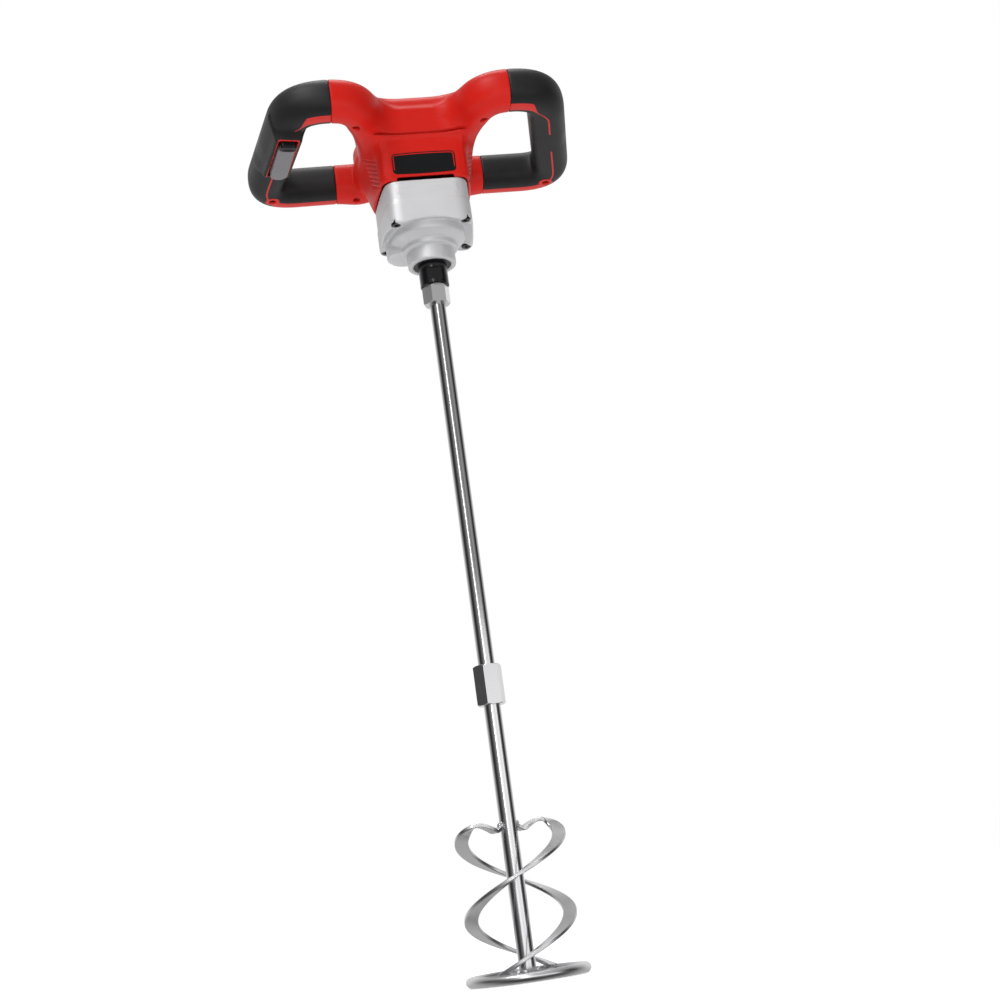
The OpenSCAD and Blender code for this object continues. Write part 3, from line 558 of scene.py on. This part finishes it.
def build_grip(left, name, node):
    lo, hi = ((-154, -83, 108), (-69, 110, 150)) if left else ((69, -83, 113), (154, 110, 150))
    xs, ys, zs = axes(lo, hi, VOXEL_GRIP)
    x, y, z = spread(xs, ys, zs)
    ax = np.abs(x)
    f = bar_field(path_offset(ax, y), z, BAR_A - GRIP_INSET, BAR_B - GRIP_INSET)
    limit = np.where(y < 20, GRIP_FRONT_X, GRIP_REAR_X) + 0.5
    f = smax(f, limit - ax, 1.6)
    if left:
        bulge, slot = trigger_housing(x, y, z)
        f = smax(smin(f, bulge, 3), -slot, 0.8)
    screw_r = np.hypot(ax - GRIP_SCREW[0], y - GRIP_SCREW[1])
    f = smin(f, drum_field(screw_r, z, 6.2, 114.9, 124, 1, 1.2), 1.5)
    f = smax(f, -smax(screw_r - 3.3, z - 119.4, 0.4), 0.5)
    verts, quads = surface_net(f, xs, ys, zs)
    skin = new_piece(name, verts, quads, grip_material())
    distances = {"red_band": red_bands(verts, left), "smooth_patch": smooth_patches(verts, left)}
    for attribute, data in distances.items():
        at = skin.data.attributes.new(attribute, "FLOAT", "POINT")
        at.data.foreach_set("value", data.astype(np.float32))
    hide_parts(node)


# ---------------------------------------------------------------- cast gearbox
def build_casting():
    xs, ys, zs = axes((-44, -39, -1), (44, 33.5, 68), VOXEL_GRIP)
    x, y, z = spread(xs, ys, zs)
    ax = np.abs(x)
    r = np.hypot(x, y)
    lobe_r = np.hypot(x - MID[0], y - MID[1])
    outline = smax(CAST_FRONT - y, plane(ax, y, (35.5, CAST_FRONT), (CAST_HALF, 2)), 12)
    outline = smax(outline, ax - CAST_HALF, 8)
    outline = smax(outline, smax(plane(ax, y, (CAST_HALF, 27), (38.5, CAST_REAR)), y - CAST_REAR, 4), 4)
    # a step round the block, and a raised pad on the front face above it
    step = 0.5 * smooth_step(47.4, 48.2, z)
    pad = (ax < 27) & (z > 54.5) & (z < 61.5) & (y < -20)
    block = smax(smax(outline + step - 0.35 * pad, CAST_Z0 - z, 3), z - CAST_TOP, 0.8)
    # hollow round the boss, which arches the front face's lower edge
    arch = CAST_Z0 + 4.6 * (1 - np.clip((r - BOSS_R) / 10, -1, 1) ** 2)
    block = smax(block, -smax(z - arch, r - (BOSS_R + 10), 0.5), 1.5)
    boss = drum_field(r, z, BOSS_R, 19.5 + np.clip(r - 27, 0, 9) * 0.75, 40, 1, 2)
    neck = drum_field(r, z, NECK_R, 13.6, 30, 1, 1.6)
    lobe = drum_field(lobe_r, z, LOBE_R, 14.2, 40, 1, 2.5)
    f = smin(smin(block, boss, 1.5), smin(neck, lobe, 2), 3)
    f = smin(f, drum_field(r, z, COLLAR_R, 0, 20, 1, 1.2), 1.2)
    for radius, z0, z1, cx, cy in BORES:
        f = smax(f, -drum_field(np.hypot(x - cx, y - cy), z, radius, z0, z1, 0.3, 0.5), 0.6)
    f = smax(f, -smax(outline + 5, 61.5 - z, 0.5), 0.6)
    # a fine groove round the collar's mouth
    f = f + 0.55 * (hump(r, 15.9, 0.5) * (z < 2))
    for px, py in CAST_SCREWS:
        f = smax(f, -smax(np.hypot(ax - px, y - py) - 4.4, z - 31.4, 0.5), 0.8)
    verts, quads = surface_net(f, xs, ys, zs, relax=2)
    casting = new_piece("gearbox_casting", verts, quads, materials["cast_aluminium"])
    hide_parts("gearbox_housing", "gearbox_cover")


# ---------------------------------------------------------------- label and lock-off button
def rounded_rect(w, h, r, arch, corner_steps=8, edge_steps=12):
    """Outline of a plate whose long edges bow outwards a little."""
    points = []
    for sx, sz, start in ((1, 1, 0), (-1, 1, 90), (-1, -1, 180), (1, -1, 270)):
        for k in range(corner_steps + 1):
            a = math.radians(start + 90 * k / corner_steps)
            points.append([sx * (w / 2 - r) + r * math.cos(a), sz * (h / 2 - r) + r * math.sin(a)])
        if sx == sz:
            for k in range(1, edge_steps):
                t = 1 - 2 * k / edge_steps
                points.append([sx * t * (w / 2 - r), sz * h / 2])
    points = np.array(points)
    points[:, 1] += np.sign(points[:, 1]) * arch * (1 - (points[:, 0] / (w / 2)) ** 2)
    return points


def stacked_faces(rows, n):
    """Faces of a stack of rings of n points each, closed at both ends."""
    faces = [[j * n + i, (j + 1) * n + i, (j + 1) * n + (i + 1) % n, j * n + (i + 1) % n]
             for j in range(rows - 1) for i in range(n)]
    return faces + [list(range((rows - 1) * n, rows * n)), list(range(n - 1, -1, -1))]


def build_label_plate(middle_z):
    outline = rounded_rect(LABEL_W - 0.4, LABEL_H - 1.8, 3.4, 0.8)
    rows = [(0.0, LABEL_Y + 1.5), (0.0, LABEL_Y + 0.35), (0.12, LABEL_Y + 0.1), (0.35, LABEL_Y)]
    verts = []
    for inset, y in rows:
        scale = np.array([1 - 2 * inset / LABEL_W, 1 - 2 * inset / LABEL_H])
        verts += [[p[0] * scale[0], y, middle_z + p[1] * scale[1]] for p in outline]
    faces = stacked_faces(len(rows), len(outline))
    plate = new_piece("label_badge", verts, faces, materials["label_black"], smooth=False)
    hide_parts("label_plate")


def build_label_border(middle_z):
    """A thin red line round the plate, open along the bottom."""
    outer = rounded_rect(LABEL_W - 2.6, LABEL_H - 4.0, 2.6, 0.75)
    inner = rounded_rect(LABEL_W - 4.2, LABEL_H - 5.6, 1.9, 0.7)
    n = len(outer)
    keep = [i for i in range(n) if outer[i][1] > -LABEL_H / 2 + 4.4]
    start = max(range(len(keep)), key=lambda i: (keep[i] - keep[i - 1]) % n)
    keep = keep[start:] + keep[:start]
    behind, ahead = LABEL_Y + 0.02 + 0.04, LABEL_Y - 0.1 + 0.04
    verts, faces = [], []
    for i in keep:
        for p, y in ((outer[i], behind), (outer[i], ahead), (inner[i], ahead), (inner[i], behind)):
            verts.append([p[0], y, middle_z + p[1]])
    for i in range(len(keep) - 1):
        for k in range(4):
            a, b = i * 4 + k, i * 4 + (k + 1) % 4
            faces.append([a, b, b + 4, a + 4])
    faces += [[3, 2, 1, 0], [len(verts) - 4 + k for k in range(4)]]
    new_piece("label_border", verts, faces, materials["red_plastic"], smooth=False)


def build_button():
    """The lock-off button: a rounded cap with a shallow thumb dish, which slides in front of the trigger."""
    outline = rounded_rect(BUTTON_W, BUTTON_H, 2.6, 0.3)
    verts = []
    for inset, z in BUTTON_ROWS:
        for u, v in outline * (1 - 2 * inset / np.array([BUTTON_W, BUTTON_H])):
            verts.append([*from_trigger(u, v - BUTTON_V), z])
    faces = stacked_faces(len(BUTTON_ROWS), len(outline))
    black = materials["button_black"]
    cap = new_piece("lock_button_cap", verts, faces, black, body="lock_off")
    split_edges(cap, "edges", 60)
    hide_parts("lock_button")


# ---------------------------------------------------------------- stirrer's ribbons and welds
def spline(values, count):
    """Smooth values between a few given ones."""
    values = np.asarray(values, float)
    n = len(values)
    out = []
    for t in np.linspace(0, n - 1, count):
        i = min(int(t), n - 2)
        u = t - i
        p = [values[min(max(i + k, 0), n - 1)] for k in (-1, 0, 1, 2)]
        out.append(0.5 * (2 * p[1] + (p[2] - p[0]) * u + (2 * p[0] - 5 * p[1] + 4 * p[2] - p[3]) * u * u
                          + (3 * p[1] - p[0] - 3 * p[2] + p[3]) * u ** 3))
    return np.array(out)


def unit(v):
    return v / np.linalg.norm(v, axis=1, keepdims=True)


def ribbon_path():
    """Radius, angle and height along a ribbon, and how many of the points are in its spiral."""
    spiral = np.linspace(0, 1, 150)[:-1]
    foot = RING_TUBE - 1
    q = np.stack([np.full_like(spiral, RIBBON_R), (spiral - 1) * RIBBON_TURN,
                  foot + (RIBBON_TOP - foot) * spiral], 1)
    q = np.concatenate([q, np.stack([spline(v, 64) for v in zip(*ARCH)], 1)])
    # a soft change from the spiral's slope into the arch
    lo, hi = len(spiral) - 14, len(spiral) + 21
    for _ in range(30):
        q[lo:hi] = 0.25 * q[lo - 1:hi - 1] + 0.5 * q[lo:hi] + 0.25 * q[lo + 1:hi + 1]
    return q, len(spiral)


def build_ribbon(turn, name, node):
    q, spiral_end = ribbon_path()
    index = np.arange(len(q))
    a = np.radians(q[:, 1])
    p = np.stack([q[:, 0] * np.cos(a), q[:, 0] * np.sin(a), q[:, 2]], 1)
    along = unit(np.gradient(p, axis=0))
    # the strip stands upright in the spiral and turns flat over the arch, where it also gets narrower
    outwards = np.stack([np.cos(a), np.sin(a), np.full_like(a, 0.001)], 1)
    upright = unit(np.cross(along, np.cross(outwards, along)))
    flat = unit(np.cross(along, np.array([0, 0, 1.0])))
    k = smooth_step(spiral_end - 11, spiral_end + 29, index)[:, None]
    wide = unit((1 - k) * upright + k * flat)
    thick = unit(np.cross(wide, along))
    half_w = RIBBON_W / 2 * (1 - 0.35 * smooth_step(len(q) - 22, len(q) - 4, index))[:, None]
    half_t, bevel = RIBBON_T / 2, 0.55
    section = [(1, 1, -bevel, 0), (1, 1, 0, -bevel), (1, -1, 0, bevel), (1, -1, -bevel, 0),
               (-1, -1, bevel, 0), (-1, -1, 0, bevel), (-1, 1, 0, -bevel), (-1, 1, bevel, 0)]
    rings = [p + wide * (sw * half_w + dw) + thick * (st * half_t + dt) for sw, st, dw, dt in section]
    at = math.radians(RIBBON_START + turn)
    spin = np.array([[math.cos(at), -math.sin(at), 0], [math.sin(at), math.cos(at), 0], [0, 0, 1]])
    verts = np.stack(rings, 1).reshape(-1, 3) @ spin.T + np.array([0, 0, RING_Z])
    n = len(section)
    faces = [[i * n + j, i * n + (j + 1) % n, (i + 1) * n + (j + 1) % n, (i + 1) * n + j]
             for i in range(len(q) - 1) for j in range(n)]
    faces += [list(range(n - 1, -1, -1)), [(len(q) - 1) * n + j for j in range(n)]]
    dull = materials["chrome_steel_dull"]
    strip = new_piece(name, verts, faces, dull, body="spindle_and_stirrer")
    split_edges(strip, "edges", 40)
    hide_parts(node)


def weld_bead(centre, size, seed, rows=14, cols=22):
    """A lumpy bead of weld metal."""
    rng = np.random.default_rng(seed)
    bumps = rng.normal(size=(5, 3)) * 1.6
    verts = []
    for i in range(rows + 1):
        b = math.pi * i / rows
        for j in range(cols):
            a = 2 * math.pi * j / cols
            v = np.array([math.sin(b) * math.cos(a), math.sin(b) * math.sin(a), math.cos(b)])
            swell = 1 + 0.09 * sum(math.sin(3 * (v @ q)) for q in bumps)
            verts.append(np.array(centre) + v * swell * np.array(size))
    faces = [[i * cols + j, i * cols + (j + 1) % cols, (i + 1) * cols + (j + 1) % cols, (i + 1) * cols + j]
             for i in range(rows) for j in range(cols)]
    return np.array(verts), faces


def build_welds():
    """Beads where the ribbons meet the rod and the ring, and where the cross strip meets the rod."""
    places = []

    def add_bead(r, degrees, z, size):
        a = math.radians(degrees)
        places.append(((r * math.cos(a), r * math.sin(a), RING_Z + z), size))

    for turn in (0, 180):
        add_bead(7.6, RIBBON_START + turn + ARCH[-1][1], 116.4, (2.4, 2.4, 3.4))
        add_bead(RIBBON_R, RIBBON_START + turn - RIBBON_TURN + 4, 2.6, (4.6, 4.2, 1.9))
    for degrees in (66, 246, 156, 336):
        add_bead(8.2, degrees, 2.8, (2.6, 2.6, 1.8))
    verts, faces = [], []
    for seed, (centre, size) in enumerate(places, 3):
        v, f = weld_bead(centre, size, seed)
        faces += [[k + len(verts) for k in q] for q in f]
        verts += v.tolist()
    dull = materials["chrome_steel_dull"]
    new_piece("weld_beads", verts, faces, dull, body="spindle_and_stirrer")


def soften_cad_parts():
    """Small rounded edges, and smooth round faces, on the CAD parts that show."""
    widths = {"stirrer_nut": 0.5, "coupling_nut": 0.5, "spindle": 0.3, "trigger": 1.0, "lock_button": 0.9,
              "cross_strip": 0.5, "battery_dock": 0.5}
    for name, width in widths.items():
        bevel = nodes[name].modifiers.new("edges", "BEVEL")
        bevel.width = width * MM
        bevel.segments = 3
        bevel.limit_method = "ANGLE"
        bevel.angle_limit = math.radians(35)
        bevel.harden_normals = False
    for name in ("stirrer_ring", "upper_rod", "lower_rod", "spindle", "trigger", "lock_button"):
        polygons = nodes[name].data.polygons
        polygons.foreach_set("use_smooth", [True] * len(polygons))
        split_edges(nodes[name], "creases", 30)


build_housing()
build_grip(False, "grip_skin_right", "grip_right")
build_grip(True, "grip_skin_left", "grip_left")
build_casting()
build_label_plate(LABEL_Z0 + LABEL_H / 2)
build_label_border(LABEL_Z0 + LABEL_H / 2)
build_button()
build_ribbon(0, "ribbon_strip_a", "ribbon_a")
build_ribbon(180, "ribbon_strip_b", "ribbon_b")
build_welds()
soften_cad_parts()

# ---------------------------------------------------------------- floor, surroundings and lights, in metres
FLOOR_HALF, FLOOR_GAP = 6.0, 0.0005
# tones of the surroundings by direction, in degrees from the front, and how far they are turned
BANDS = [(-140, 0.95), (-108, 0.45), (-86, 0.05), (-66, 0.03), (-44, 0.14), (-22, 0.40), (2, 0.52),
         (28, 0.20), (46, 0.48), (64, 0.22), (82, 0.02), (98, 0.04), (116, 0.45), (142, 0.95)]
BANDS_TURN = 0.155
DOME_TONE = 0.48
HEAD = (0, 0, 0.09)


def build_floor():
    s, z = FLOOR_HALF, cad_box[0][2] - FLOOR_GAP
    mesh = bpy.data.meshes.new("floor")
    mesh.from_pydata([(-s, -s, z), (s, -s, z), (s, s, z), (-s, s, z)], [], [(0, 1, 2, 3)])
    paint = make_material("floor_paint", (0.86, 0.86, 0.86), 0.6, vary=0.02, grain=60, bump=0.03)
    finish = paint.node_tree.nodes["Principled BSDF"]
    plug(paint.node_tree, finish, {"Emission Color": grey(1), "Emission Strength": 0.6})
    mesh.materials.append(paint)
    floor = bpy.data.objects.new("floor", mesh)
    bpy.context.scene.collection.objects.link(floor)
    floor.visible_glossy = False


def build_surroundings():
    """Bands of light and shade round the horizon, which bright metal mirrors; the camera sees plain white."""
    world = bpy.data.worlds.new("studio")
    bpy.context.scene.world = world
    world.use_nodes = True
    tree = world.node_tree
    generated = tree.nodes.new("ShaderNodeTexCoord").outputs["Generated"]
    ways = plug(tree, tree.nodes.new("ShaderNodeSeparateXYZ"), {"Vector": generated}).outputs
    azimuth = calculate(tree, "ARCTAN2", ways["X"], calculate(tree, "MULTIPLY", ways["Y"], -1.0))
    turn = map_range(tree, azimuth, -math.pi - BANDS_TURN, math.pi - BANDS_TURN)
    tone = plug(tree, tree.nodes.new("ShaderNodeValToRGB"), {"Fac": turn})
    stops = tone.color_ramp.elements
    for end in stops:
        end.color = grey(1)
    for degrees, value in BANDS:
        stops.new(0.5 + degrees / 360).color = grey(value)
    height = map_range(tree, ways["Z"], 0.42, 0.75, curve="SMOOTHSTEP")
    dome = mix_colour(tree, height, tone.outputs["Color"], grey(DOME_TONE))
    # the ground is dark at the front and paler behind
    below = map_range(tree, ways["Z"], -0.05, -0.25)
    ground = mix_colour(tree, below, dome, map_range(tree, ways["Y"], -0.5, 0.5, 0.05, 0.6))
    camera_ray = tree.nodes.new("ShaderNodeLightPath").outputs["Is Camera Ray"]
    backdrop = mix_colour(tree, camera_ray, ground, grey(1))
    plug(tree, tree.nodes["Background"], {"Color": backdrop, "Strength": 1.0})


def add_light(name, place, aim, width, height, power):
    data = bpy.data.lights.new(name, "AREA")
    data.shape = "RECTANGLE"
    data.size, data.size_y, data.energy = width, height, power
    obj = bpy.data.objects.new(name, data)
    obj.location = place
    obj.rotation_mode = "QUATERNION"
    obj.rotation_quaternion = (Vector(aim) - Vector(place)).to_track_quat("-Z", "Y")
    bpy.context.scene.collection.objects.link(obj)


build_floor()
build_surroundings()
add_light("key_softbox", (-0.9, -1.2, 1.5), HEAD, 0.8, 0.8, 24)
add_light("top_softbox", (0.1, 0.2, 1.7), HEAD, 1.0, 0.8, 13)
add_light("low_softbox", (0.28, -1.28, -0.42), (0, 0, -0.38), 1.9, 0.7, 4.2)
add_light("strip_left", (-0.42, -1.55, 0.25), (0, 0, -0.2), 0.12, 1.3, 3.5)

# ---------------------------------------------------------------- camera
CAMERA_AT = (-0.16623, -1.26309, -0.55124)
YAW, PITCH, ROLL = 0.1546, 0.2545, -0.1412
forward = Vector((math.sin(YAW) * math.cos(PITCH), math.cos(YAW) * math.cos(PITCH), math.sin(PITCH)))
level = Vector((math.cos(YAW), -math.sin(YAW), 0))
upright = level.cross(forward)
right = level * math.cos(ROLL) + upright * math.sin(ROLL)
up = -level * math.sin(ROLL) + upright * math.cos(ROLL)
camera_data = bpy.data.cameras.new("camera")
camera_data.sensor_width = 36.0
camera_data.lens = 55.74
camera_data.clip_start = 0.05
camera_data.clip_end = 60.0
camera = bpy.data.objects.new("camera", camera_data)
rows = [(right[i], up[i], -forward[i], CAMERA_AT[i]) for i in range(3)]
camera.matrix_world = Matrix(rows + [(0, 0, 0, 1)])
bpy.context.scene.collection.objects.link(camera)
bpy.context.scene.camera = camera
bpy.context.scene.view_settings.view_transform = "Standard"
